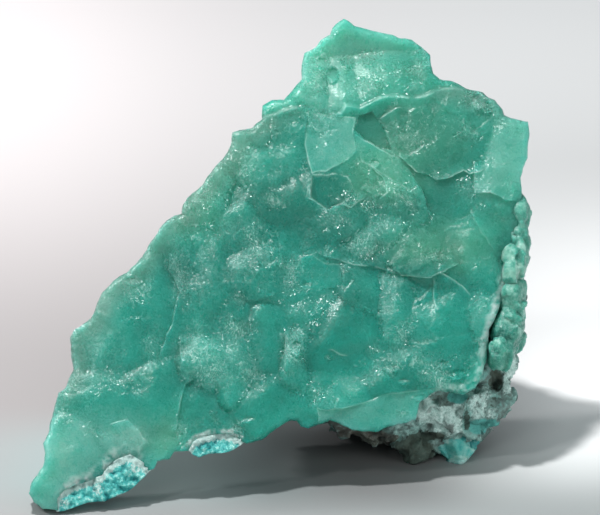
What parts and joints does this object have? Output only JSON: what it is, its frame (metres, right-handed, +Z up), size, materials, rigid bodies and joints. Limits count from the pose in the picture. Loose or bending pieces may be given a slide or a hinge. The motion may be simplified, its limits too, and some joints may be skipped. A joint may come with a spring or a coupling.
{
  "type": "smithsonite specimen",
  "caption": "Leaning translucent blue-green smithsonite crust with swollen lobes and chipped plates, on a lump of pitted host rock with a turquoise knob.",
  "frame": {"origin": "centre of the bounding box's bottom face, on the floor", "axes": "+Z up, +X to the right along the specimen's width, -Y towards the viewer of its lobed face"},
  "size_m": [0.1, 0.079, 0.0818],
  "materials": {
    "green_smithsonite": "translucent blue-green, waxy to satin, fine sparkling pebbly skin on the lobes, smooth glassy chips",
    "host_rock": "dull pitted grey, white and brown matrix with green and turquoise stains",
    "turquoise_smithsonite": "bright cyan-teal, lumpy, satin",
    "teal_smithsonite": "teal to pale green small lobes, satin",
    "blue_rind": "granular cyan crystals under a thin white skin"
  },
  "bodies": {
    "root": {"smithsonite_crust": "green_smithsonite", "host_rock": "host_rock", "turquoise_knob": "turquoise_smithsonite", "right_edge_lobes": "teal_smithsonite", "blue_rind_tip": "blue_rind", "blue_rind_middle": "blue_rind"}
  },
  "joints": []
}
